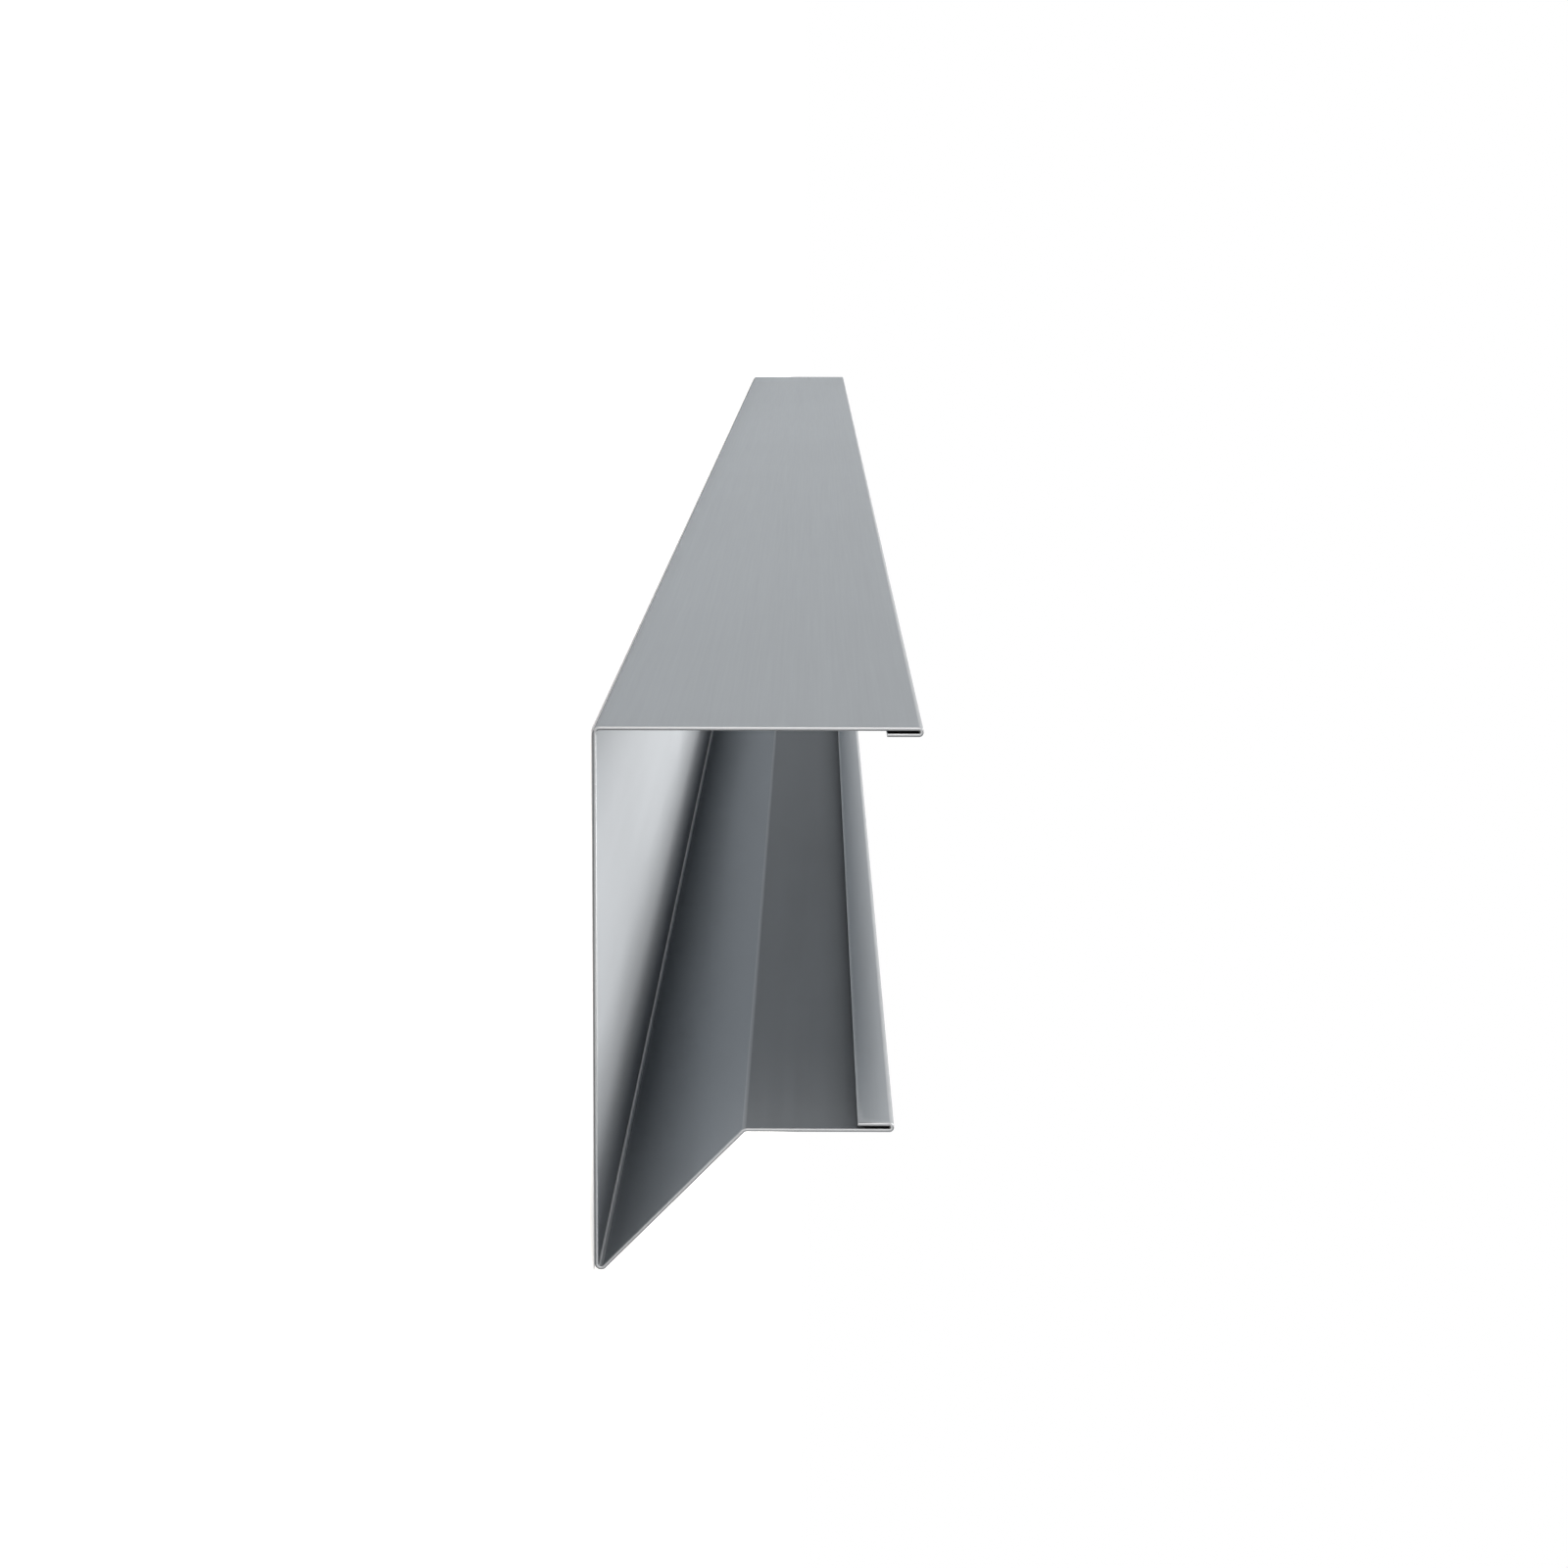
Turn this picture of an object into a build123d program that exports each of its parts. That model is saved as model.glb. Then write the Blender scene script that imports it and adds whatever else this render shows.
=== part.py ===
"""Verge flashing: one length of sheet folded to a roof edge trim.

The section is a single strip. It starts in an open hem on the top flange, turns
down the web, comes back at a sharp drip nose, rises on a sloping return and ends
in the lower flange, whose hem is turned inwards as well.

The length lies on its web, as it would on a level floor: the web's outer face is
on Z = 0, the mouth of the channel opens upwards, Y runs along the length, and the
top flange stands on the -X side. The origin is under the middle of the piece.
"""

import os
from math import radians, tan

from build123d import *

# Stock, in millimetres
SHEET_THICKNESS = 1.0
LENGTH = 3000.0

# Section over the outside of the folds, the two widths taken from the web's face
WEB_HEIGHT = 151.0
MOUTH_HEIGHT = 112.0
TOP_WIDTH = 90.0
LOWER_WIDTH = 82.5

# Angle between the web and the sloping return, in degrees
NOSE_ANGLE = 45.0

# Hems: the edge turned back on itself with a narrow gap left inside
HEM_DEPTH = 10.0
HEM_GAP = 0.65

# Inside radii of the folds
BEND_RADIUS = 1.0
NOSE_RADIUS = 0.8

# The folds are laid out on the middle of the sheet
half_sheet = SHEET_THICKNESS / 2
bend_middle = BEND_RADIUS + half_sheet
nose_middle = NOSE_RADIUS + half_sheet
hem_middle = HEM_GAP / 2 + half_sheet
hem_outside = hem_middle + half_sheet

top_face_x = -WEB_HEIGHT / 2
top_x = top_face_x + half_sheet
lower_x = top_face_x + MOUTH_HEIGHT - half_sheet
web_z = half_sheet


def nose_corner():
    """Where the middles of the web and the return would meet if the nose were sharp."""
    centre_x = WEB_HEIGHT / 2 - NOSE_RADIUS - SHEET_THICKNESS
    return (centre_x + nose_middle / tan(radians(NOSE_ANGLE / 2)), web_z)


def return_corner():
    """Where the middles of the sloping return and the lower flange would meet."""
    nose_x, nose_z = nose_corner()
    return (lower_x, nose_z + (nose_x - lower_x) * tan(radians(NOSE_ANGLE)))


def hem(start, direction, turn):
    """The edge of a flange turned back on itself, and the leaf that runs home from the turn."""
    fold = JernArc(start=start, tangent=direction, radius=hem_middle, arc_size=turn)
    leaf = (fold % 1) * (HEM_DEPTH - hem_outside)
    Line(fold @ 1, fold @ 1 + leaf)


def section():
    """The folded strip as the far cut end shows it."""
    with BuildSketch(Plane.XZ.offset(-LENGTH / 2)) as strip:
        with BuildLine():
            folds = FilletPolyline(
                (top_x, TOP_WIDTH - hem_outside),
                (top_x, web_z),
                nose_corner(),
                return_corner(),
                (lower_x, LOWER_WIDTH - hem_outside),
                radius=[bend_middle, nose_middle, bend_middle],
            )
            hem(folds @ 0, (folds % 0) * -1, -180)
            hem(folds @ 1, folds % 1, 180)
        trace(line_width=SHEET_THICKNESS)
    return strip.sketch


def verge_flashing():
    """The section drawn out from the far end to the near one."""
    return extrude(section(), amount=LENGTH)


os.makedirs("parts", exist_ok=True)
export_step(verge_flashing(), "parts/verge_flashing.step")
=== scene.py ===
"""Looks of the verge flashing, laid out as an add-on and run as a script.

The flashing is one folded strip of sheet. Its visible surface is worked out here with
numpy on the same sizes as the solid it stands for, with finer folds, softened cut
edges and a satin rolled finish. The frame is the part's own: metres, the web's outer
face on Z = 0, Y along the length, the top flange on the -X side.
"""

import math

import bpy
import numpy as np
from mathutils import Matrix, Vector


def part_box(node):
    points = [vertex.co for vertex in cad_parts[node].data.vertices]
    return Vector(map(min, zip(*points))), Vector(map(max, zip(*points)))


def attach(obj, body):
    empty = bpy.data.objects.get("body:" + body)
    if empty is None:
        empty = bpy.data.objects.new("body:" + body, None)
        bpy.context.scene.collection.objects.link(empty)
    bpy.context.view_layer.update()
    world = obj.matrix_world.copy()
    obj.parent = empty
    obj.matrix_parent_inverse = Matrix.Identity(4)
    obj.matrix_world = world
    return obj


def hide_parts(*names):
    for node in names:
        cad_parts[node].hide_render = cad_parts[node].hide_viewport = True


bl_info = {
    "name": "Verge Flashing",
    "version": (1, 0, 0),
    "blender": (4, 5, 0),
    "location": "View3D > Sidebar > Flashing",
    "description": "Folds a hemmed verge flashing, gives it its sheet finish and lights it",
    "category": "Object",
}

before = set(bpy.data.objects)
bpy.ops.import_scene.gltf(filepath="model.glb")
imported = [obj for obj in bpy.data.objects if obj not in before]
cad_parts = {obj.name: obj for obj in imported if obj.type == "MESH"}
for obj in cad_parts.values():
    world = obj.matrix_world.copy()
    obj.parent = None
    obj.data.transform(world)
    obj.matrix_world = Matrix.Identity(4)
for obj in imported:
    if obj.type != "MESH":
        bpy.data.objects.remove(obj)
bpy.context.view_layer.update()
NODE_LOW, NODE_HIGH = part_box("verge_flashing")


# Settings


class FlashingSizes(bpy.types.PropertyGroup):
    """Sizes of the folded strip, over the outside of its folds."""

    length: bpy.props.FloatProperty(
        name="Length", description="Length of the strip between its cut ends",
        default=NODE_HIGH.y - NODE_LOW.y, min=0.05, subtype="DISTANCE", unit="LENGTH",
    )
    web_height: bpy.props.FloatProperty(
        name="Web Height", description="From the top flange's outer face to the drip nose",
        default=NODE_HIGH.x - NODE_LOW.x, min=0.03, subtype="DISTANCE", unit="LENGTH",
    )
    top_width: bpy.props.FloatProperty(
        name="Top Width", description="From the web's outer face to the top flange's hem",
        default=NODE_HIGH.z - NODE_LOW.z, min=0.02, subtype="DISTANCE", unit="LENGTH",
    )
    mouth_height: bpy.props.FloatProperty(
        name="Mouth Height", description="Between the outer faces of the two flanges",
        default=0.112, min=0.02, subtype="DISTANCE", unit="LENGTH",
    )
    lower_width: bpy.props.FloatProperty(
        name="Lower Width", description="From the web's outer face to the lower flange's hem",
        default=0.0825, min=0.02, subtype="DISTANCE", unit="LENGTH",
    )
    sheet_thickness: bpy.props.FloatProperty(
        name="Sheet Thickness", description="Thickness of the sheet",
        default=0.001, min=0.0003, precision=4, subtype="DISTANCE", unit="LENGTH",
    )
    nose_angle: bpy.props.FloatProperty(
        name="Nose Angle", description="Angle between the web and the sloping return",
        default=math.radians(45.0), subtype="ANGLE", unit="ROTATION",
    )
    hem_depth: bpy.props.FloatProperty(
        name="Hem Depth", description="How far each edge is turned back on itself",
        default=0.010, precision=4, subtype="DISTANCE", unit="LENGTH",
    )
    hem_gap: bpy.props.FloatProperty(
        name="Hem Gap", description="Gap left open inside each hem",
        default=0.00065, precision=5, subtype="DISTANCE", unit="LENGTH",
    )
    bend_radius: bpy.props.FloatProperty(
        name="Bend Radius", description="Inside radius of the two flange bends",
        default=0.001, precision=4, subtype="DISTANCE", unit="LENGTH",
    )
    nose_radius: bpy.props.FloatProperty(
        name="Nose Radius", description="Inside radius of the drip nose",
        default=0.0008, precision=4, subtype="DISTANCE", unit="LENGTH",
    )
    flange_bow: bpy.props.FloatProperty(
        name="Flange Bow", description="How far the shading of the lower flange leans at its hem",
        default=math.radians(14.0), subtype="ANGLE", unit="ROTATION",
    )
    nose_spread: bpy.props.FloatProperty(
        name="Nose Spread", description="How far the shading of the web leans into the nose",
        default=math.radians(16.0), subtype="ANGLE", unit="ROTATION",
    )
    spread_reach: bpy.props.FloatProperty(
        name="Spread Reach", description="Distance from the nose at which the web's lean begins",
        default=0.045, min=0.001, max=0.05, subtype="DISTANCE", unit="LENGTH",
    )
    leaf_crown: bpy.props.FloatProperty(
        name="Leaf Crown", description="How far the shading of a hem's leaf leans at its fold",
        default=math.radians(18.0), subtype="ANGLE", unit="ROTATION",
    )
    leaf_rounding: bpy.props.FloatProperty(
        name="Leaf Rounding", description="Radius that softens the sheared edges inside the hems",
        default=0.00015, precision=5, subtype="DISTANCE", unit="LENGTH",
    )
    edge_rounding: bpy.props.FloatProperty(
        name="Edge Rounding", description="Radius that softens the cut ends of the sheet",
        default=0.00042, precision=5, subtype="DISTANCE", unit="LENGTH",
    )


class FlashingFinish(bpy.types.PropertyGroup):
    """Colours and sheen of the sheet."""

    face_colour: bpy.props.FloatVectorProperty(
        name="Face Colour", description="Side of the sheet that faces outwards",
        default=(0.340, 0.374, 0.410), size=3, min=0.0, max=1.0, subtype="COLOR",
    )
    back_colour: bpy.props.FloatVectorProperty(
        name="Back Colour", description="Side of the sheet that lines the channel",
        default=(0.380, 0.406, 0.434), size=3, min=0.0, max=1.0, subtype="COLOR",
    )
    # A lit and a shaded copy of the cut edge: the torn colour is painted shade, put on the side
    # away from the lamps
    burnished_lit_colour: bpy.props.FloatVectorProperty(
        name="Cut Edge Colour", description="Band that the blade has burnished on a sheared edge",
        default=(0.40, 0.415, 0.43), size=3, min=0.0, max=1.0, subtype="COLOR",
    )
    torn_shade_colour: bpy.props.FloatVectorProperty(
        name="Torn Edge Colour", description="Band of a sheared edge where the metal has torn",
        default=(0.24, 0.25, 0.26), size=3, min=0.0, max=1.0, subtype="COLOR",
    )
    # Bright metal at worn edges; over tight folds it is also a painted highlight for the bend's
    # glint
    bright_colour: bpy.props.FloatVectorProperty(
        name="Bright Metal Colour", description="Metal where a fold or an edge opened the finish",
        default=(0.86, 0.88, 0.90), size=3, min=0.0, max=1.0, subtype="COLOR",
    )
    face_metal: bpy.props.FloatProperty(
        name="Face Metal Share", description="How far the face reflects as bare metal",
        default=0.07, min=0.0, max=1.0, subtype="FACTOR",
    )
    face_roughness: bpy.props.FloatProperty(
        name="Face Roughness", description="Mean roughness of the face",
        default=0.8, min=0.0, max=1.0, subtype="FACTOR",
    )
    back_metal: bpy.props.FloatProperty(
        name="Back Metal Share", description="How far the back reflects as bare metal",
        default=0.85, min=0.0, max=1.0, subtype="FACTOR",
    )
    back_roughness: bpy.props.FloatProperty(
        name="Back Roughness", description="Mean roughness of the back",
        default=0.45, min=0.0, max=1.0, subtype="FACTOR",
    )
    face_gloss: bpy.props.FloatProperty(
        name="Face Gloss", description="Specular level of the face",
        default=0.0, min=0.0, max=1.0, subtype="FACTOR",
    )
    back_gloss: bpy.props.FloatProperty(
        name="Back Gloss", description="Specular level of the back",
        default=0.13, min=0.0, max=1.0, subtype="FACTOR",
    )
    glance: bpy.props.FloatProperty(
        name="Glancing Reflection", description="Strength of reflections at glancing angles",
        default=0.27, min=0.0, max=1.0, subtype="FACTOR",
    )
    grain_strength: bpy.props.FloatProperty(
        name="Grain Strength", description="How strongly the rolling marks show",
        default=0.42, min=0.0, max=1.0, subtype="FACTOR",
    )
    grain_width: bpy.props.FloatProperty(
        name="Grain Width", description="Width of one rolling mark",
        default=0.0009, precision=5, subtype="DISTANCE", unit="LENGTH",
    )
    grain_length: bpy.props.FloatProperty(
        name="Grain Length", description="Length of one rolling mark",
        default=0.16, subtype="DISTANCE", unit="LENGTH",
    )


class StudioSettings(bpy.types.PropertyGroup):
    """Floor, background and lamps."""

    background: bpy.props.FloatVectorProperty(
        name="Background", description="Colour behind and under the strip",
        default=(1.0, 1.0, 1.0), size=3, min=0.0, max=1.0, subtype="COLOR",
    )
    floor_colour: bpy.props.FloatVectorProperty(
        name="Floor Colour", description="Colour that the floor gives back to the strip",
        default=(0.8, 0.8, 0.8), size=3, min=0.0, max=1.0, subtype="COLOR",
    )
    floor_glow: bpy.props.FloatProperty(
        name="Floor Glow", description="Glow that the camera and the metal see beside the strip",
        default=0.4, min=0.0, max=1.0, subtype="FACTOR",
    )
    lamp_colour: bpy.props.FloatVectorProperty(
        name="Lamp Colour", description="Colour of all four softboxes",
        default=(1.05, 1.0, 0.95), size=3, min=0.0, max=2.0, subtype="COLOR",
    )
    far_overhead: bpy.props.FloatProperty(
        name="Far Overhead Light", description="Radiance of the softbox above the far end",
        default=7.6, min=0.0,
    )
    near_overhead: bpy.props.FloatProperty(
        name="Near Overhead Light", description="Radiance of the softbox above the strip",
        default=4.9, min=0.0,
    )
    side_light: bpy.props.FloatProperty(
        name="Side Light", description="Radiance of the softbox beside the top flange",
        default=2.8, min=0.0,
    )
    end_light: bpy.props.FloatProperty(
        name="End Light", description="Radiance of the softbox before the near end",
        default=4.3, min=0.0,
    )


# Shape of the strip

# Steps in each run of the strip, from the top hem's leaf to the lower one's: leaf, fold,
# top flange, bend, web, nose, return, bend, lower flange, fold, leaf
RUN_STEPS = (6, 28, 8, 12, 26, 18, 12, 8, 4, 28, 6)

# Number of the run that is the nose
NOSE = 5

# A run that turns by less than this is straight
LEAST_TURN = 1e-9

# Shares of the web's lean and of its reach that the shading of the return takes
RETURN_LEAN = 0.25
RETURN_REACH = 0.5

# Share of its bow by which the shading of the lower flange leans at the bend
BEND_LEAN = 1 / 3

# Angles of the rows on the quarter circle that rounds the sheared edge of a leaf
LEAF_EDGE_TILTS = np.radians([15.0, 30.0, 45.0, 60.0, 76.0])

# Sheared edges have a dull torn band and a bright burnished one. Here the dull band is
# painted shade, put on the side of each cut edge away from the lamps, which light it from
# -X. It is on the face, but for the places where the face turns towards the lamps: where
# its normal's share along -X is above the first number, and fully so from the sum of both.
FACE_LIT_FROM = 0.6
FACE_LIT_SPREAD = 0.25

# How far the painted shade inside a hem reaches out over the flange
HEM_SHADE_REACH = 0.003

# Material slots of the strip's mesh
FACE, BACK, CUT = 0, 1, 2


def folded_path(start, heading, runs):
    """Middle line of the folded strip and its left-hand normals.

    Each run is a length and a turn. Along it the heading changes evenly, so a place on
    it is the start plus the integral of (cos, sin) of the heading: a straight line where
    the turn is nothing, otherwise an arc of radius length / turn. Returns points, normals
    and distances along the strip.
    """
    points, normals, distances = [], [], []
    here, travelled = np.array(start, float), 0.0
    for (length, turn), steps in zip(runs, RUN_STEPS):
        along = np.linspace(0.0, 1.0, steps + 1)
        if points:
            along = along[1:]
        angle = heading + turn * along
        if abs(turn) < LEAST_TURN:
            direction = np.array([math.cos(heading), math.sin(heading)])
            place = here + np.outer(along * length, direction)
            end = here + length * direction
        else:
            radius = length / turn
            place = here + radius * np.stack(
                [np.sin(angle) - math.sin(heading), math.cos(heading) - np.cos(angle)], axis=1
            )
            end = here + radius * np.array([
                math.sin(heading + turn) - math.sin(heading),
                math.cos(heading) - math.cos(heading + turn),
            ])
        points.append(place)
        normals.append(np.stack([-np.sin(angle), np.cos(angle)], axis=1))
        distances.append(travelled + along * length)
        here, heading, travelled = end, heading + turn, travelled + length
    return np.concatenate(points), np.concatenate(normals), np.concatenate(distances)


def bowed_normals(left, travelled, runs, sizes):
    """The strip's normals, shaded as if its runs were not quite flat.

    The lean is given at distances along the strip and changes evenly in between. On a
    leaf it goes from minus the crown at the edge to the crown at the fold. The lower
    flange leans from a share of its bow at the bend to all of it at the hem. Before the
    nose the web already leans into the fold, and after it the return leans a little the
    other way, because a fold spreads into the sheet beside it.
    """
    ends = np.append(0.0, np.cumsum([length for length, turn in runs]))
    web_end, nose_end = ends[NOSE], ends[NOSE + 1]
    web_leans = web_end - sizes.spread_reach
    return_leans = nose_end + sizes.spread_reach * RETURN_REACH
    places = [*ends[:NOSE], web_leans, web_end, nose_end, return_leans, *ends[NOSE + 2:]]
    crown, bow, spread = sizes.leaf_crown, sizes.flange_bow, sizes.nose_spread
    leans = [
        -crown, crown, 0, 0, 0, 0, spread, -spread * RETURN_LEAN, 0, 0,
        bow * BEND_LEAN, bow, -crown, crown,
    ]
    lean = np.interp(travelled, places, leans)
    turn_x = left[:, 0] * np.cos(lean) - left[:, 1] * np.sin(lean)
    turn_z = left[:, 0] * np.sin(lean) + left[:, 1] * np.cos(lean)
    return np.stack([turn_x, turn_z], axis=1)


def strip_runs(sizes):
    """Start, heading and runs of the strip's middle line, from one leaf's edge to the other's.

    An arc's length is its radius times its turn. A straight run is the distance between
    two corners less, at each, the radius times the tangent of half the turn. Each leaf is
    shorter by the leaf rounding, which its rounded edge takes up.
    """
    half = sizes.sheet_thickness / 2
    bend = sizes.bend_radius + half
    nose = sizes.nose_radius + half
    hem = sizes.hem_gap / 2 + half
    leaf = sizes.hem_depth - hem - half - sizes.leaf_rounding
    quarter = math.pi / 2
    fold = math.pi - sizes.nose_angle
    rise = fold - quarter

    top_x = -sizes.web_height / 2 + half
    lower_x = -sizes.web_height / 2 + sizes.mouth_height - half
    nose_x = sizes.web_height / 2 - sizes.nose_radius - sizes.sheet_thickness
    corner_reach = nose / math.tan(sizes.nose_angle / 2)
    corner_x = nose_x + corner_reach
    bend_reach = bend * math.tan(rise / 2)
    slope = (corner_x - lower_x) / math.cos(sizes.nose_angle)
    lower_z = half + (corner_x - lower_x) * math.tan(sizes.nose_angle)

    start = (top_x + 2 * hem, sizes.top_width - hem - half - leaf)
    runs = [
        (leaf, 0.0),
        (hem * math.pi, math.pi),
        (sizes.top_width - hem - half - half - bend, 0.0),
        (bend * quarter, quarter),
        (nose_x - top_x - bend, 0.0),
        (nose * fold, fold),
        (slope - corner_reach - bend_reach, 0.0),
        (bend * rise, -rise),
        (sizes.lower_width - hem - half - lower_z - bend_reach, 0.0),
        (hem * math.pi, math.pi),
        (leaf, 0.0),
    ]
    return start, quarter, runs


def sheet_profile(thickness, length, rounding, steps, bays):
    """Cut through the sheet across one place of the strip, as a closed loop with its normals.

    It is a rounded rectangle, thickness wide and length long. Its four corners are
    quarter circles of the rounding. The first half of the loop is the face, from the far
    end to the near one, and the second half is the back, so that a place and its mirror
    image on the other side of the sheet have numbers that add up to one less than the
    count.
    """
    turn = np.linspace(0.0, math.pi / 2, steps + 1)
    flat = np.linspace(1.0, -1.0, bays + 1)[1:-1]
    across, along = thickness / 2 - rounding, length / 2 - rounding
    far_across = -across - rounding * np.sin(turn)
    far_along = along + rounding * np.cos(turn)
    face = np.stack([
        np.concatenate([far_across, np.full(flat.size, -thickness / 2), far_across[::-1]]),
        np.concatenate([far_along, along * flat, -far_along[::-1]]),
    ], axis=1)
    outward = np.stack([
        np.concatenate([-np.sin(turn), np.full(flat.size, -1.0), -np.sin(turn[::-1])]),
        np.concatenate([np.cos(turn), np.zeros(flat.size), -np.cos(turn[::-1])]),
    ], axis=1)
    mirror = np.array([-1.0, 1.0])
    loop = np.concatenate([face, face[::-1] * mirror])
    return loop, np.concatenate([outward, outward[::-1] * mirror])


def strip_faces(rows, columns, steps, end_rows):
    """Four-sided faces of the closed strip, pointing outwards, and the material of each.

    Each row of the grid is a closed loop. A ladder of faces between the two sides closes
    the first row, and another the last. The ladders, the rounded corners of the loops and
    the rows of each leaf's edge are cut edge. The rest is face in the first half of the
    loop and back in the second.
    """
    number = np.arange(rows * columns).reshape(rows, columns)
    ring = np.roll(number, -1, axis=1)
    walls = np.stack([number[:-1], number[1:], ring[1:], ring[:-1]], axis=-1)
    half = columns // 2
    rung = np.arange(half - 1)
    ladder = np.stack([rung, rung + 1, columns - 2 - rung, columns - 1 - rung], axis=1)
    closing = np.concatenate([number[0][ladder], number[-1][ladder[:, ::-1]]])

    side = np.full(columns, CUT)
    side[steps:half - 1 - steps] = FACE
    side[half + steps:columns - 1 - steps] = BACK
    kinds = np.tile(side, (rows - 1, 1))
    kinds[:end_rows] = CUT
    kinds[-end_rows:] = CUT
    faces = np.concatenate([walls.reshape(-1, 4), closing])
    return faces, np.concatenate([kinds.ravel(), np.full(len(closing), CUT)])


def strip_marks(sizes, runs, left, travelled, along, across):
    """Four values for each vertex, by name, that the materials read.

    along and across are the vertices' places in Y and across the sheet. rim is the
    distance to the nearest sheared edge. fold is the fold's curvature times the middle
    radius of the nose, at most one. The mark for the place across the sheet goes from one on
    the side that faces the lamps to nothing on the side away from them, which puts painted
    shade on one band of each cut edge. The mark inside the hems is one there and falls to
    nothing beyond their edge; it sets painted shade on the back.
    """
    curvature = np.repeat([abs(turn) / length for length, turn in runs], RUN_STEPS)
    curvature = np.minimum(np.append(curvature, 0.0), np.append(0.0, curvature))
    fold = np.minimum(curvature * (sizes.nose_radius + sizes.sheet_thickness / 2), 1.0)
    fold = np.pad(fold, LEAF_EDGE_TILTS.size)

    from_leaf = np.minimum(travelled, travelled[-1] - travelled)
    rim = np.minimum(from_leaf[:, None], sizes.length / 2 - np.abs(along))

    # Painted shade: the dark band of each cut edge goes on the side away from the lamps
    away = np.clip((FACE_LIT_FROM - left[:, :1]) / FACE_LIT_SPREAD, -1.0, 1.0)
    lit_side = 0.5 + away * across / sizes.sheet_thickness

    hem_edge = runs[0][0] + runs[1][0] / 2
    lower_hem_edge = travelled[-1] - hem_edge
    from_hem = np.minimum(np.abs(travelled - hem_edge), np.abs(lower_hem_edge - travelled))
    # Painted shade: one inside the hems, falling to nothing a short way beyond their edge
    hem_shade = np.clip(1.0 - (from_hem - hem_edge) / HEM_SHADE_REACH, 0.0, 1.0)

    marks = {"rim": rim, "fold": fold[:, None], "lit_side": lit_side, "hem_shade": hem_shade[:, None]}
    return {name: np.broadcast_to(mark, rim.shape).ravel() for name, mark in marks.items()}


def strip_surface(sizes, steps=6, bays=60):
    """Vertices, normals, faces, face materials and marks of the whole strip.

    Place (i, j) is path i plus its normal times the profile's first number, with the
    profile's second number as Y. Past each end of the path the profile is inset by
    r (1 - cos a) and moved on by r sin a, where r is the leaf rounding and a the tilt,
    which rounds the leaf's edge. The outermost rows are shaded straight along the strip,
    as the flat faces that close them are. steps and bays are the parts of the profile's
    corners and of its long sides.
    """
    start, heading, runs = strip_runs(sizes)
    path, left, travelled = folded_path(start, heading, runs)
    profile, outward = sheet_profile(
        sizes.sheet_thickness, sizes.length, sizes.edge_rounding, steps, bays
    )

    end_rows = LEAF_EDGE_TILTS.size
    tilt = np.concatenate([-LEAF_EDGE_TILTS[::-1], np.zeros(len(path)), LEAF_EDGE_TILTS])
    moved_on, inset = np.sin(tilt), 1 - np.cos(tilt)
    tilt[0], tilt[-1] = -math.pi / 2, math.pi / 2
    travelled = np.pad(travelled, end_rows, mode="edge")
    left = np.pad(left, ((end_rows, end_rows), (0, 0)), mode="edge")
    ahead = np.stack([left[:, 1], -left[:, 0]], axis=1)
    path = np.pad(path, ((end_rows, end_rows), (0, 0)), mode="edge")
    path = path + ahead * (moved_on * sizes.leaf_rounding)[:, None]

    place = profile[None] - (inset * sizes.leaf_rounding)[:, None, None] * outward[None]
    across, along = place[..., 0], place[..., 1]
    x = path[:, :1] + left[:, :1] * across
    z = path[:, 1:] + left[:, 1:] * across
    vertices = np.stack([x, along, z], axis=-1)

    bowed = bowed_normals(left, travelled, runs, sizes)
    level, rise = np.cos(tilt)[:, None], np.sin(tilt)[:, None]
    normals = np.stack([
        level * bowed[:, :1] * outward[:, 0] + rise * ahead[:, :1],
        np.broadcast_to(level * outward[:, 1], x.shape),
        level * bowed[:, 1:] * outward[:, 0] + rise * ahead[:, 1:],
    ], axis=-1)

    faces, kinds = strip_faces(*x.shape, steps, end_rows)
    marks = strip_marks(sizes, runs, left, travelled, along, across)
    return vertices.reshape(-1, 3), normals.reshape(-1, 3), faces, kinds, marks


def sheet_object(name, surface, materials):
    """A mesh object at the origin from the arrays of a surface and its materials."""
    vertices, normals, faces, kinds, marks = surface
    mesh = bpy.data.meshes.new(name)
    mesh.vertices.add(len(vertices))
    mesh.vertices.foreach_set("co", vertices.astype(np.float32).ravel())
    mesh.loops.add(faces.size)
    mesh.loops.foreach_set("vertex_index", faces.astype(np.int32).ravel())
    mesh.polygons.add(len(faces))
    mesh.polygons.foreach_set("loop_start", np.arange(0, faces.size, 4, dtype=np.int32))
    mesh.polygons.foreach_set("material_index", kinds.astype(np.int32))
    mesh.update(calc_edges=True)
    mesh.validate()
    mesh.shade_smooth()
    mesh.normals_split_custom_set_from_vertices(normals)
    for mark, values in marks.items():
        attribute = mesh.attributes.new(mark, "FLOAT", "POINT")
        attribute.data.foreach_set("value", values.astype(np.float32))
    for material in materials:
        mesh.materials.append(material)
    made = bpy.data.objects.new(name, mesh)
    bpy.context.scene.collection.objects.link(made)
    return made


# Materials

# A Mix node has sockets of the same name for each kind of value. These are the colour's.
COLOUR_A, COLOUR_B, COLOUR_RESULT = 6, 7, 2

# Noise is a value about this one
MEAN_NOISE = 0.5

# Wider rolling marks: their frequency and their strength beside those of the fine ones
WIDE_FREQUENCY = 0.22
WIDE_STRENGTH = 0.5

# Clouds of haze: their size, and their frequency along the strip beside that across it
HAZE_SIZE = 0.12
HAZE_DRAWN = 0.35

# Powers that narrow the bare metal and painted highlight to tight folds, and the painted shade to
# a hem's depth
FOLD_POWER = 8.0
HEM_SHADE_POWER = 1.5

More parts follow.
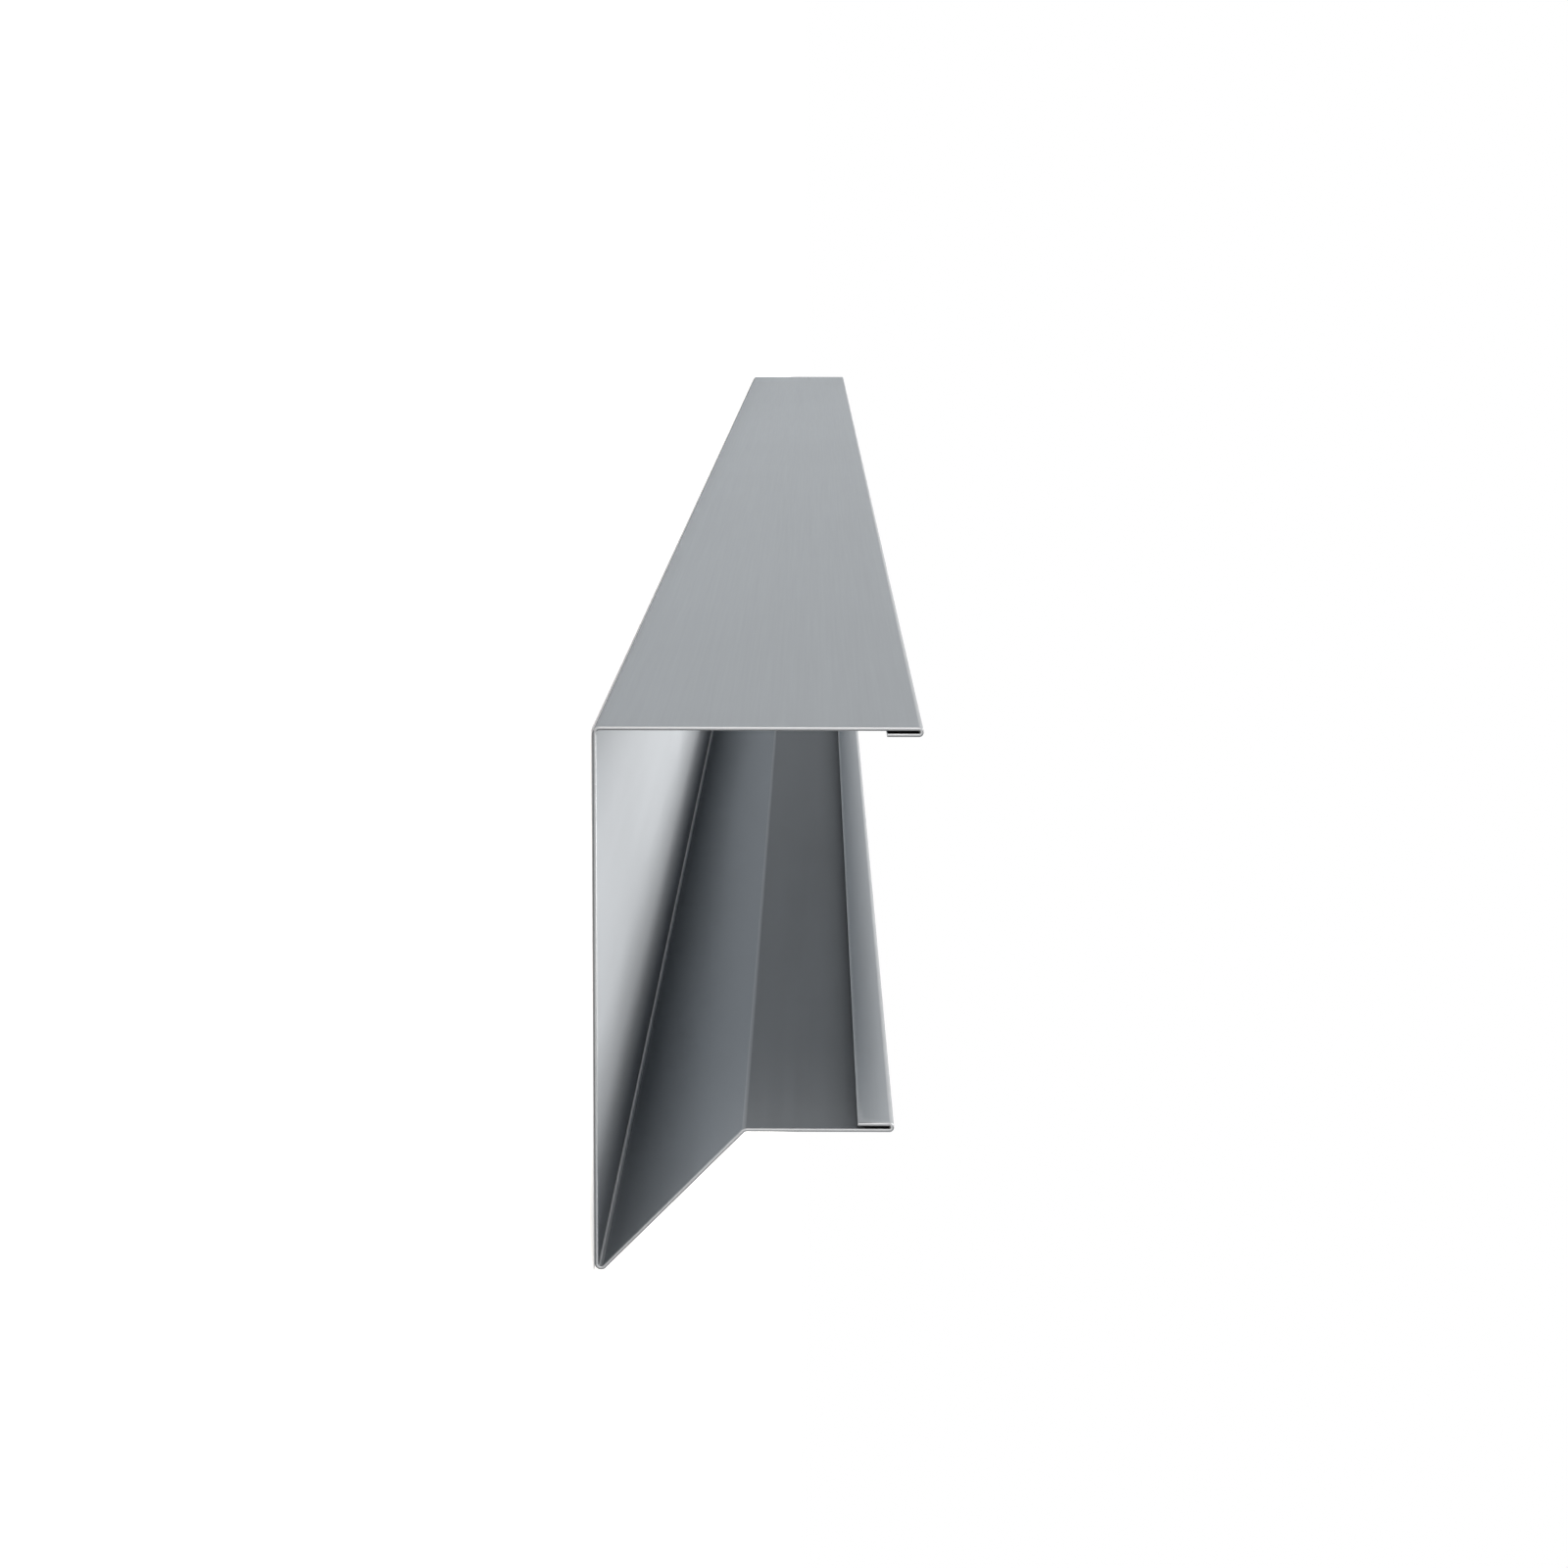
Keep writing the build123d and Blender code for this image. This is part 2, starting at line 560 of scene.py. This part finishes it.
# What full marks, haze and bare metal add to the colour's strength and to the roughness
# of the sheet, and how strong and how high the marks are as a bump
GRAIN_SHADE = 0.22
HAZE_SHADE = 0.05
GRAIN_ROUGHNESS = 0.16
HAZE_ROUGHNESS = 0.10
BARE_ROUGHNESS = -0.12
GRAIN_BUMP = 0.12
GRAIN_HEIGHT = 0.00004

# Where bare metal shows on either side of the sheet, under the names of the group's sockets.
# The fold amount, most on the back, also makes a painted highlight at the folds, and the
# amount for inside the hems darkens them as painted shade.
FACE_OPENING_AND_SHADE = {
    "Edge Width": 0.0009, "Edge Amount": 0.2, "Fold Amount": 0.15, "Hem Shade Amount": 0.0,
}
BACK_OPENING_AND_SHADE = {
    "Edge Width": 0.0009, "Edge Amount": 0.0, "Fold Amount": 0.95, "Hem Shade Amount": 0.75,
}

# Seeds of the marks on the face, the back and the cut edges
FACE_SEED, BACK_SEED, CUT_SEED = 1.0, 4.0, 7.0

# Marks that the blade leaves on a cut edge, and what they add to its colour's strength,
# to its roughness and to the place across the edge that parts the torn band, painted shade, from
# the burnished one
CUT_MARK_WIDTH = 0.00025
CUT_MARK_LENGTH = 0.0012
CUT_SHADE = 0.16
CUT_MARK_ROUGHNESS = 0.2
CUT_MARK_LIT_SIDE = 0.1
CUT_BUMP = 0.1
CUT_HEIGHT = 0.00002

# The torn band, painted shade on the side away from the lamps, ends at the first value,
# the burnished one is whole from the second, and the burnished metal is smoother by the last
# number
TORN_SHADE_TO = 0.30
BURNISHED_LIT_FROM = 0.50
TORN_ROUGHNESS = 0.6
BURNISHED_ROUGHNESS = -0.2


def new_group(name, inputs, outputs):
    """An empty shader node group with its sockets, and its own input and output nodes."""
    group = bpy.data.node_groups.new(name, "ShaderNodeTree")
    for label, default in inputs.items():
        socket = group.interface.new_socket(label, in_out="INPUT", socket_type="NodeSocketFloat")
        socket.default_value = default
    for label in outputs:
        group.interface.new_socket(label, in_out="OUTPUT", socket_type="NodeSocketFloat")
    return group, group.nodes.new("NodeGroupInput"), group.nodes.new("NodeGroupOutput")


def node(tree, kind, values=None, **settings):
    """A node with its settings and its sockets: a value is set, and another socket is linked."""
    made = tree.nodes.new(kind)
    for name, value in settings.items():
        setattr(made, name, value)
    for name, value in (values or {}).items():
        if isinstance(value, bpy.types.NodeSocket):
            tree.links.new(value, made.inputs[name])
        else:
            made.inputs[name].default_value = value
    return made


def maths(tree, operation, first, second=0.0, third=0.0):
    """The output of one Math node."""
    values = {0: first, 1: second, 2: third}
    return node(tree, "ShaderNodeMath", values, operation=operation).outputs[0]


def vector_maths(tree, operation, first, second=(0.0, 0.0, 0.0)):
    """The vector output of one Vector Math node."""
    values = {0: first, 1: second}
    return node(tree, "ShaderNodeVectorMath", values, operation=operation).outputs[0]


def strengthened(tree, colour, strength):
    """A colour times a value."""
    values = {0: colour, "Scale": strength}
    return node(tree, "ShaderNodeVectorMath", values, operation="SCALE").outputs[0]


def mixed(tree, share, first, second):
    """A colour that goes from the first to the second with its share."""
    values = {"Factor": share, COLOUR_A: first, COLOUR_B: second}
    return node(tree, "ShaderNodeMix", values, data_type="RGBA").outputs[COLOUR_RESULT]


def vertex_mark(tree, name):
    """One of the marks that the strip's vertices carry."""
    return node(tree, "ShaderNodeAttribute", attribute_name=name).outputs["Fac"]


def bumped(tree, height, strength, distance):
    """The surface's normal, tipped by the slopes of a height."""
    values = {"Height": height, "Strength": strength, "Distance": distance}
    return node(tree, "ShaderNodeBump", values).outputs[0]


def drawn_place(group, across, along):
    """The object's coordinates times one frequency in X and Z and another in Y."""
    place = node(group, "ShaderNodeTexCoord").outputs["Object"]
    stretch = node(group, "ShaderNodeCombineXYZ", {"X": across, "Y": along, "Z": across})
    return vector_maths(group, "MULTIPLY", place, stretch.outputs[0])


def seeded_noise(group, place, seed, scale, detail, roughness):
    """Noise at a place, different for each seed."""
    values = {
        "Vector": place, "W": seed, "Scale": scale, "Detail": detail, "Roughness": roughness,
    }
    return node(group, "ShaderNodeTexNoise", values, noise_dimensions="4D").outputs[0]


def rolled_grain_group():
    """Rolling marks: noise drawn out along Y, a fine one and a wider one half as strong.

    Marks is a value about one half, to be used as a change of colour or roughness or as
    a height.
    """
    group, given, result = new_group(
        "rolled grain", {"Width": 0.0009, "Length": 0.16, "Seed": 0.0}, ["Marks"]
    )
    across = maths(group, "DIVIDE", 1.0, given.outputs["Width"])
    along = maths(group, "DIVIDE", 1.0, given.outputs["Length"])
    place = drawn_place(group, across, along)
    fine, wide = (
        seeded_noise(group, place, given.outputs["Seed"], scale, detail=2.0, roughness=0.55)
        for scale in (1.0, WIDE_FREQUENCY)
    )
    swing = maths(group, "SUBTRACT", wide, MEAN_NOISE)
    marks = maths(group, "MULTIPLY_ADD", swing, WIDE_STRENGTH, fine)
    group.links.new(marks, result.inputs["Marks"])
    return group


def handling_haze_group():
    """Clouds of slightly duller sheet, a hand's breadth across and longer along the strip."""
    group, given, result = new_group("handling haze", {"Size": HAZE_SIZE, "Seed": 0.0}, ["Haze"])
    across = maths(group, "DIVIDE", 1.0, given.outputs["Size"])
    along = maths(group, "MULTIPLY", across, HAZE_DRAWN)
    place = drawn_place(group, across, along)
    haze = seeded_noise(
        group, place, given.outputs["Seed"], scale=1.0, detail=3.0, roughness=0.6
    )
    group.links.new(haze, result.inputs["Haze"])
    return group


def opened_finish_and_shade_group():
    """Where bare metal shows, and painted light: an uneven band along the sheared edges and
    the tight folds, and painted shade inside the hems.

    The edge's share falls smoothly from one at the edge to nothing at the width. The
    fold's share is a high power of its mark, so it shows at the drip nose and on the
    hems, and hardly on the easier bends; over the folds it is opened finish and also a
    painted highlight for the glint of the bend. The first output is the larger share. The
    second is the share of its colour that the sheet keeps, lower inside the hems as painted
    shade.
    """
    group, given, result = new_group(
        "opened finish and hem shade",
        {"Edge Width": 0.0006, "Edge Amount": 0.6, "Fold Amount": 0.6, "Hem Shade Amount": 0.75},
        ["Bare", "Unshaded"],
    )
    place = node(group, "ShaderNodeTexCoord").outputs["Object"]
    uneven = node(
        group, "ShaderNodeTexNoise", {"Vector": place, "Scale": 260.0, "Detail": 2.0}
    ).outputs[0]
    about_one = maths(group, "ADD", uneven, 1.0 - MEAN_NOISE)
    width = maths(group, "MULTIPLY", given.outputs["Edge Width"], about_one)
    edge = node(
        group, "ShaderNodeMapRange",
        {
            "Value": vertex_mark(group, "rim"), "From Min": 0.0, "From Max": width,
            "To Min": 1.0, "To Max": 0.0,
        },
        interpolation_type="SMOOTHSTEP",
    ).outputs[0]
    edge = maths(group, "MULTIPLY", edge, given.outputs["Edge Amount"])
    # Over tight folds: opened finish, and a painted highlight for the bend's glint
    fold = maths(group, "POWER", vertex_mark(group, "fold"), FOLD_POWER)
    fold = maths(group, "MULTIPLY", fold, given.outputs["Fold Amount"])
    # Painted shade inside the hems and just beyond their edges
    depth = maths(group, "POWER", vertex_mark(group, "hem_shade"), HEM_SHADE_POWER)
    depth = maths(group, "MULTIPLY", depth, given.outputs["Hem Shade Amount"])
    group.links.new(maths(group, "MAXIMUM", edge, fold), result.inputs["Bare"])
    group.links.new(maths(group, "SUBTRACT", 1.0, depth), result.inputs["Unshaded"])
    return group


def new_material(name):
    """A material and its node tree, which starts out with a principled shader."""
    material = bpy.data.materials.new(name)
    material.use_nodes = True
    return material, material.node_tree


def sheet_material(name, groups, finish, colour, metal, roughness, gloss, seed, opened):
    """Satin rolled sheet whose colour and roughness change a little with grain and haze.

    The colour's strength and the roughness are sums of a base and of each change times
    its share. Bright metal shows through where the finish is opened, and as a painted
    highlight over the tight folds; inside the hems the colour is darkened as painted shade.
    """
    material, tree = new_material(name)
    shader = tree.nodes["Principled BSDF"]
    values = {"Width": finish.grain_width, "Length": finish.grain_length, "Seed": seed}
    marks = node(tree, "ShaderNodeGroup", values, node_tree=groups["grain"]).outputs["Marks"]
    values = {"Size": HAZE_SIZE, "Seed": seed}
    haze = node(tree, "ShaderNodeGroup", values, node_tree=groups["haze"]).outputs["Haze"]
    opening = node(tree, "ShaderNodeGroup", opened, node_tree=groups["opened"])
    # The bright share: worn edges, and over tight folds also a painted highlight
    bare = opening.outputs["Bare"]

    swing = maths(tree, "SUBTRACT", marks, MEAN_NOISE)
    cloud = maths(tree, "SUBTRACT", haze, MEAN_NOISE)
    shade = maths(tree, "MULTIPLY_ADD", swing, GRAIN_SHADE * finish.grain_strength, 1.0)
    shade = maths(tree, "MULTIPLY_ADD", cloud, HAZE_SHADE, shade)
    # Painted shade: the colour is darkened inside the hems and just beyond their edges
    shade = maths(tree, "MULTIPLY", shade, opening.outputs["Unshaded"])
    tinted = strengthened(tree, colour, shade)
    tinted = mixed(tree, bare, tinted, (*finish.bright_colour, 1.0))
    rough = maths(tree, "MULTIPLY_ADD", swing, GRAIN_ROUGHNESS * finish.grain_strength, roughness)
    rough = maths(tree, "MULTIPLY_ADD", cloud, HAZE_ROUGHNESS, rough)
    rough = maths(tree, "MULTIPLY_ADD", bare, BARE_ROUGHNESS, rough)
    normal = bumped(tree, marks, GRAIN_BUMP * finish.grain_strength, GRAIN_HEIGHT)
    tree.links.new(tinted, shader.inputs["Base Color"])
    tree.links.new(rough, shader.inputs["Roughness"])
    tree.links.new(normal, shader.inputs["Normal"])
    glance = finish.glance
    shader.inputs["Metallic"].default_value = metal
    shader.inputs["Specular IOR Level"].default_value = gloss
    shader.inputs["Specular Tint"].default_value = (glance, glance, glance, 1.0)
    return material


def cut_edge_material(name, groups, finish):
    """Sheared metal: a bright band burnished by the blade, and a dull one where the metal tore,
    put on the side away from the lamps, so that the dull band is painted shade.

    The burnished share rises smoothly with the place across the edge, to which the blade's
    marks add a little.
    """
    material, tree = new_material(name)
    shader = tree.nodes["Principled BSDF"]
    values = {"Width": CUT_MARK_WIDTH, "Length": CUT_MARK_LENGTH, "Seed": CUT_SEED}
    marks = node(tree, "ShaderNodeGroup", values, node_tree=groups["grain"]).outputs["Marks"]
    swing = maths(tree, "SUBTRACT", marks, MEAN_NOISE)
    lit_side = maths(tree, "MULTIPLY_ADD", swing, CUT_MARK_LIT_SIDE, vertex_mark(tree, "lit_side"))
    # The burnished share is the lit band; the rest is the torn band, placed as painted shade
    burnished = node(
        tree, "ShaderNodeMapRange",
        {"Value": lit_side, "From Min": TORN_SHADE_TO, "From Max": BURNISHED_LIT_FROM},
        interpolation_type="SMOOTHSTEP",
    ).outputs[0]
    band = mixed(tree, burnished, (*finish.torn_shade_colour, 1.0), (*finish.burnished_lit_colour, 1.0))
    shade = maths(tree, "MULTIPLY_ADD", swing, CUT_SHADE, 1.0)
    rough = maths(tree, "MULTIPLY_ADD", burnished, BURNISHED_ROUGHNESS, TORN_ROUGHNESS)
    rough = maths(tree, "MULTIPLY_ADD", swing, CUT_MARK_ROUGHNESS, rough)
    tree.links.new(strengthened(tree, band, shade), shader.inputs["Base Color"])
    tree.links.new(rough, shader.inputs["Roughness"])
    tree.links.new(bumped(tree, marks, CUT_BUMP, CUT_HEIGHT), shader.inputs["Normal"])
    shader.inputs["Metallic"].default_value = finish.back_metal
    return material


# Stage

# Each softbox's place, the point that it faces, its width and its height
SOFTBOXES = {
    "far_overhead": ((-0.1, 3.75, 3.0), (0.0, 3.75, 0.0), 4.5, 1.95),
    "near_overhead": ((-0.78, -0.25, 2.90), (0.0, -0.25, 0.0), 3.5, 2.30),
    "side_light": ((-2.96, -3.0, 0.47), (0.0, -3.0, 0.0), 3.0, 0.74),
    "end_light": ((-3.2, -5.2, 0.8), (0.0, -1.5, 0.04), 2.0, 1.5),
}

# The floor's reach to each side, how far it is under the strip, and how far from the
# strip its glow is full white
FLOOR_REACH = 80.0
FLOOR_DROP = 0.0002
GLOW_REACH = 0.5

# The main camera: lens and sensor in millimetres, pitch, yaw and roll in degrees, its
# place, and the nearest and farthest that it sees
CAMERA_LENS = 92.46
CAMERA_SENSOR = 36.0
CAMERA_TURNS = (7.578, 0.408, -0.1064)
CAMERA_PLACE = (-0.20422, -2.58431, 0.05979)
CAMERA_CLIP = (0.01, 200.0)


def softbox(name, studio):
    """An area lamp of an even radiance: its power is the radiance times its area times pi."""
    place, target, width, height = SOFTBOXES[name]
    lamp = bpy.data.lights.new(name, "AREA")
    lamp.shape = "RECTANGLE"
    lamp.size, lamp.size_y = width, height
    lamp.energy = getattr(studio, name) * width * height * math.pi
    lamp.color = studio.lamp_colour
    made = bpy.data.objects.new(name, lamp)
    made.location = place
    facing = Vector(target) - Vector(place)
    made.rotation_euler = facing.to_track_quat("-Z", "Y").to_euler()
    made.visible_camera = False
    bpy.context.scene.collection.objects.link(made)


def seen_ray(tree):
    """One for camera, glossy and transmission rays, which see the background, else nothing."""
    ray = node(tree, "ShaderNodeLightPath")
    seen = maths(tree, "MAXIMUM", ray.outputs["Is Camera Ray"], ray.outputs["Is Glossy Ray"])
    return maths(tree, "MAXIMUM", seen, ray.outputs["Is Transmission Ray"])


def beside_strip(tree):
    """How far a place on the floor is from the rectangle that the strip covers.

    It is the length of what is left of |x| and |y| after half the strip's width and
    length are taken off. One metre is taken off the height, so that it has no share.
    """
    place = node(tree, "ShaderNodeTexCoord").outputs["Object"]
    size = NODE_HIGH - NODE_LOW
    offset = vector_maths(tree, "ABSOLUTE", place)
    offset = vector_maths(tree, "SUBTRACT", offset, (size.x / 2, size.y / 2, 1.0))
    offset = vector_maths(tree, "MAXIMUM", offset)
    length = node(tree, "ShaderNodeVectorMath", {0: offset}, operation="LENGTH")
    return length.outputs["Value"]


def lay_floor(studio):
    """A pale floor that keeps the strip's shadow.

    It reflects as plain paint. Seen by the camera, or in the metal, it also glows: by
    the glow setting beside the strip, where the shadow falls, and rising to full white a
    short way off.
    """
    corners = np.array([[-1, -1, 0], [1, -1, 0], [1, 1, 0], [-1, 1, 0]], float) * FLOOR_REACH
    corners[:, 2] = -FLOOR_DROP
    mesh = bpy.data.meshes.new("studio_floor")
    mesh.from_pydata(corners.tolist(), [], [(0, 1, 2, 3)])
    floor = bpy.data.objects.new("studio_floor", mesh)
    bpy.context.scene.collection.objects.link(floor)

    material, tree = new_material("studio floor")
    tree.nodes.clear()
    paint = node(tree, "ShaderNodeBsdfDiffuse", {"Color": (*studio.floor_colour, 1.0)})
    glow = node(
        tree, "ShaderNodeMapRange",
        {
            "Value": beside_strip(tree), "From Min": 0.0, "From Max": GLOW_REACH,
            "To Min": studio.floor_glow, "To Max": 1.0,
        },
        interpolation_type="SMOOTHSTEP",
    ).outputs[0]
    strength = maths(tree, "MULTIPLY", seen_ray(tree), glow)
    values = {"Color": (*studio.background, 1.0), "Strength": strength}
    light = node(tree, "ShaderNodeEmission", values)
    both = node(tree, "ShaderNodeAddShader", {0: paint.outputs[0], 1: light.outputs[0]})
    node(tree, "ShaderNodeOutputMaterial", {"Surface": both.outputs[0]})
    mesh.materials.append(material)


def hang_backdrop(studio):
    """A surround that only the camera and the metal see."""
    world = bpy.data.worlds.new("studio surround")
    world.use_nodes = True
    tree = world.node_tree
    tree.nodes.clear()
    values = {"Color": (*studio.background, 1.0), "Strength": seen_ray(tree)}
    light = node(tree, "ShaderNodeBackground", values)
    node(tree, "ShaderNodeOutputWorld", {"Surface": light.outputs[0]})
    bpy.context.scene.world = world


def photo_camera():
    """The camera of the main picture: before the near end, rolled so that the web is upright.

    Its axes are those of a level camera in a frame with the web upright, pitched, turned
    and rolled by small angles, and then laid over with the strip, which swaps up for -X
    and right for +Z.
    """
    camera = bpy.data.objects.new("camera", bpy.data.cameras.new("camera"))
    camera.data.lens = CAMERA_LENS
    camera.data.sensor_width = CAMERA_SENSOR
    camera.data.clip_start, camera.data.clip_end = CAMERA_CLIP
    pitch, yaw, roll = np.radians(CAMERA_TURNS)
    turned = np.array([
        [np.cos(yaw), -np.sin(yaw), 0], [np.sin(yaw), np.cos(yaw), 0], [0, 0, 1],
    ])
    pitched = np.array([
        [1, 0, 0], [0, np.cos(pitch), np.sin(pitch)], [0, -np.sin(pitch), np.cos(pitch)],
    ])
    rolled = np.array([
        [np.cos(roll), 0, np.sin(roll)], [0, 1, 0], [-np.sin(roll), 0, np.cos(roll)],
    ])
    laid_over = np.array([[0, 0, -1], [0, 1, 0], [1, 0, 0]])
    right, forward, up = (laid_over @ turned @ pitched @ rolled).T
    place = Matrix(np.stack([right, up, -forward], axis=1).tolist()).to_4x4()
    place.translation = CAMERA_PLACE
    camera.matrix_world = place
    bpy.context.scene.collection.objects.link(camera)
    bpy.context.scene.camera = camera


# Operators and panel


class FLASHING_OT_fold_strip(bpy.types.Operator):
    """Fold the strip and give it its sheet finish"""

    bl_idname = "flashing.fold_strip"
    bl_label = "Fold Flashing Strip"

    def execute(self, context):
        sizes = context.scene.flashing_sizes
        finish = context.scene.flashing_finish
        groups = {
            "grain": rolled_grain_group(),
            "haze": handling_haze_group(),
            "opened": opened_finish_and_shade_group(),
        }
        materials = [
            sheet_material(
                "sheet face", groups, finish, finish.face_colour, finish.face_metal,
                finish.face_roughness, finish.face_gloss, FACE_SEED, FACE_OPENING_AND_SHADE,
            ),
            sheet_material(
                "sheet back", groups, finish, finish.back_colour, finish.back_metal,
                finish.back_roughness, finish.back_gloss, BACK_SEED, BACK_OPENING_AND_SHADE,
            ),
            cut_edge_material("cut edge", groups, finish),
        ]
        strip = sheet_object("flashing_strip", strip_surface(sizes), materials)
        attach(strip, "root")
        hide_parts("verge_flashing")
        return {"FINISHED"}


class FLASHING_OT_set_stage(bpy.types.Operator):
    """Lay the floor, hang the lamps and set the camera"""

    bl_idname = "flashing.set_stage"
    bl_label = "Set Flashing Stage"

    def execute(self, context):
        studio = context.scene.flashing_studio
        hang_backdrop(studio)
        lay_floor(studio)
        for name in SOFTBOXES:
            softbox(name, studio)
        photo_camera()
        context.scene.view_settings.view_transform = "Standard"
        return {"FINISHED"}


class VIEW3D_PT_flashing(bpy.types.Panel):
    """Sidebar panel of the flashing"""

    bl_label = "Verge Flashing"
    bl_space_type = "VIEW_3D"
    bl_region_type = "UI"
    bl_category = "Flashing"

    def draw(self, context):
        layout = self.layout
        for settings in (context.scene.flashing_sizes, context.scene.flashing_finish):
            box = layout.box()
            for name in settings.__annotations__:
                box.prop(settings, name)
        layout.operator("flashing.fold_strip")
        box = layout.box()
        for name in context.scene.flashing_studio.__annotations__:
            box.prop(context.scene.flashing_studio, name)
        layout.operator("flashing.set_stage")


CLASSES = (
    FlashingSizes,
    FlashingFinish,
    StudioSettings,
    FLASHING_OT_fold_strip,
    FLASHING_OT_set_stage,
    VIEW3D_PT_flashing,
)


def register():
    """Registers the classes and gives every scene the three groups of settings."""
    for each in CLASSES:
        bpy.utils.register_class(each)
    bpy.types.Scene.flashing_sizes = bpy.props.PointerProperty(type=FlashingSizes)
    bpy.types.Scene.flashing_finish = bpy.props.PointerProperty(type=FlashingFinish)
    bpy.types.Scene.flashing_studio = bpy.props.PointerProperty(type=StudioSettings)


def unregister():
    """Takes away the settings and the classes again."""
    del bpy.types.Scene.flashing_studio
    del bpy.types.Scene.flashing_finish
    del bpy.types.Scene.flashing_sizes
    for each in reversed(CLASSES):
        bpy.utils.unregister_class(each)


def main():
    """Registers the classes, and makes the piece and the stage."""
    register()
    bpy.ops.flashing.fold_strip()
    bpy.ops.flashing.set_stage()


if __name__ == "__main__":
    main()
